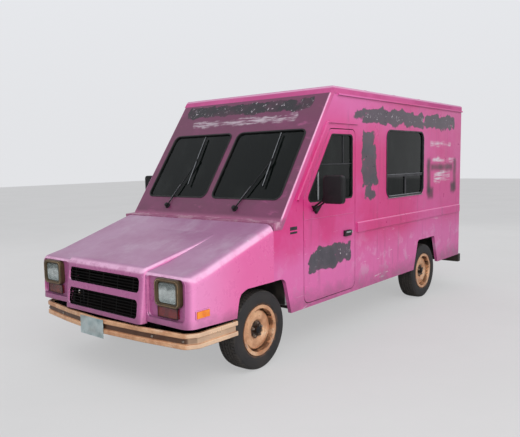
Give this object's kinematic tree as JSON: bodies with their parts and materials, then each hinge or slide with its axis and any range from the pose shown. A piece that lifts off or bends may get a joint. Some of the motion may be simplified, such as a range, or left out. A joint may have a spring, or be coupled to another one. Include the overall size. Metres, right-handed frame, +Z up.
{
  "type": "walk-in van",
  "caption": "Walk-in food van: short tilting nose, sloped two-pane windshield, boxy load space with side windows and rear doors, steered front wheels.",
  "frame": {"origin": "middle of the van's footprint box, on the ground the tyres stand on", "axes": "+Z up, the nose points along -Y, +X is the van's left side"},
  "size_m": [2.592, 5.4082, 2.42],
  "materials": {
    "body_paint": "worn satin",
    "nose_paint": "oxidised satin",
    "roof_paint": "chalky matte",
    "frame_paint": "worn satin",
    "copper_paint": "satin",
    "chassis_black": "matte",
    "steel": "oily",
    "iron": "oily",
    "alloy": "satin",
    "zinc": "matte",
    "tyre": "matte",
    "rubber": "matte",
    "black_plastic": "grained",
    "vinyl": "creased",
    "glass": "clear",
    "lamp_glass": "fluted",
    "amber": "ribbed",
    "red": "ribbed",
    "plate": "satin"
  },
  "bodies": {
    "van": {"blank_plate": "plate", "bulkhead": "zinc", "chassis_frame": "chassis_black", "dashboard": "black_plastic", "door_hinge_pins": "steel", "engine": "iron", "exhaust": "steel", "floor": "steel", "front_bumper": "copper_paint", "front_suspension": "chassis_black", "fuel_tank": "zinc", "radiator": "black_plastic", "rear_axle": "chassis_black", "rear_bumper": "chassis_black", "rear_frame": "body_paint", "roof": "roof_paint", "seats": "vinyl", "side_wall_left": "body_paint", "side_wall_right": "body_paint", "side_window_frames": "alloy", "side_window_panes": "glass", "tail_lamps": "red", "wheelhouses": "chassis_black", "windshield_frame": "frame_paint", "windshield_panes": "glass", "windshield_rubber": "rubber", "wipers": "black_plastic"},
    "clip": {"front_clip": "nose_paint", "grille": "black_plastic", "headlights": "lamp_glass", "lamp_bezels": "copper_paint", "turn_lamps": "amber"},
    "cab_door_left": {"door_left": "body_paint", "door_glass_left": "glass", "door_trim_left": "rubber", "mirror_left": "black_plastic"},
    "cab_door_right": {"door_right": "body_paint", "door_glass_right": "glass", "door_trim_right": "rubber", "mirror_right": "black_plastic"},
    "rear_leaf_left": {"rear_door_left": "body_paint", "rear_glass_left": "glass"},
    "rear_leaf_right": {"rear_door_right": "body_paint", "rear_glass_right": "glass"},
    "steer_left": {"knuckle_left": "iron"},
    "steer_right": {"knuckle_right": "iron"},
    "rack": {"steering_rack": "steel"},
    "wheel_front_left": {"tyre_front_left": "tyre", "rim_front_left": "copper_paint"},
    "wheel_front_right": {"tyre_front_right": "tyre", "rim_front_right": "copper_paint"},
    "wheel_rear_left": {"tyre_rear_left": "tyre", "rim_rear_left": "copper_paint"},
    "wheel_rear_right": {"tyre_rear_right": "tyre", "rim_rear_right": "copper_paint"}
  },
  "joints": [
    {"name": "steer_left_turn", "type": "hinge", "parent": "van", "child": "steer_left", "pos_m": [0.83, -1.75885, 0.334], "axis": [0, 0, 1], "range_deg": [-28, 28]},
    {"name": "steer_right_turn", "type": "hinge", "parent": "van", "child": "steer_right", "pos_m": [-0.83, -1.75885, 0.334], "axis": [0, 0, 1], "range_deg": [-28, 28]},
    {"name": "rack_slide", "type": "slide", "parent": "van", "child": "rack", "axis": [1, 0, 0], "range_m": [-0.0391, 0.0391]},
    {"name": "spin_front_left", "type": "hinge", "parent": "steer_left", "child": "wheel_front_left", "pos_m": [0.83, -1.75885, 0.334], "axis": [1, 0, 0], "continuous": true},
    {"name": "spin_front_right", "type": "hinge", "parent": "steer_right", "child": "wheel_front_right", "pos_m": [-0.83, -1.75885, 0.334], "axis": [1, 0, 0], "continuous": true},
    {"name": "spin_rear_left", "type": "hinge", "parent": "van", "child": "wheel_rear_left", "pos_m": [0.83, 1.50415, 0.334], "axis": [1, 0, 0], "continuous": true},
    {"name": "spin_rear_right", "type": "hinge", "parent": "van", "child": "wheel_rear_right", "pos_m": [-0.83, 1.50415, 0.334], "axis": [1, 0, 0], "continuous": true},
    {"name": "cab_door_left_swing", "type": "hinge", "parent": "van", "child": "cab_door_left", "pos_m": [0.9613, -1.15785, 1], "axis": [0, 0, -1], "range_deg": [0, 70]},
    {"name": "cab_door_right_swing", "type": "hinge", "parent": "van", "child": "cab_door_right", "pos_m": [-0.9613, -1.15785, 1], "axis": [0, 0, 1], "range_deg": [0, 70]},
    {"name": "rear_door_left_swing", "type": "hinge", "parent": "van", "child": "rear_leaf_left", "pos_m": [0.831, 2.61745, 1.3], "axis": [0, 0, -1], "range_deg": [0, 100]},
    {"name": "rear_door_right_swing", "type": "hinge", "parent": "van", "child": "rear_leaf_right", "pos_m": [-0.831, 2.61745, 1.3], "axis": [0, 0, 1], "range_deg": [0, 100]},
    {"name": "clip_tilt", "type": "hinge", "parent": "van", "child": "clip", "pos_m": [0, -2.64885, 0.526], "axis": [1, 0, 0], "range_deg": [0, 50]}
  ],
  "couplings": [
    {"joint": "steer_right_turn", "follows": "steer_left_turn", "ratio": 1},
    {"joint": "rack_slide", "follows": "steer_left_turn", "m_per_rad": -0.08}
  ]
}
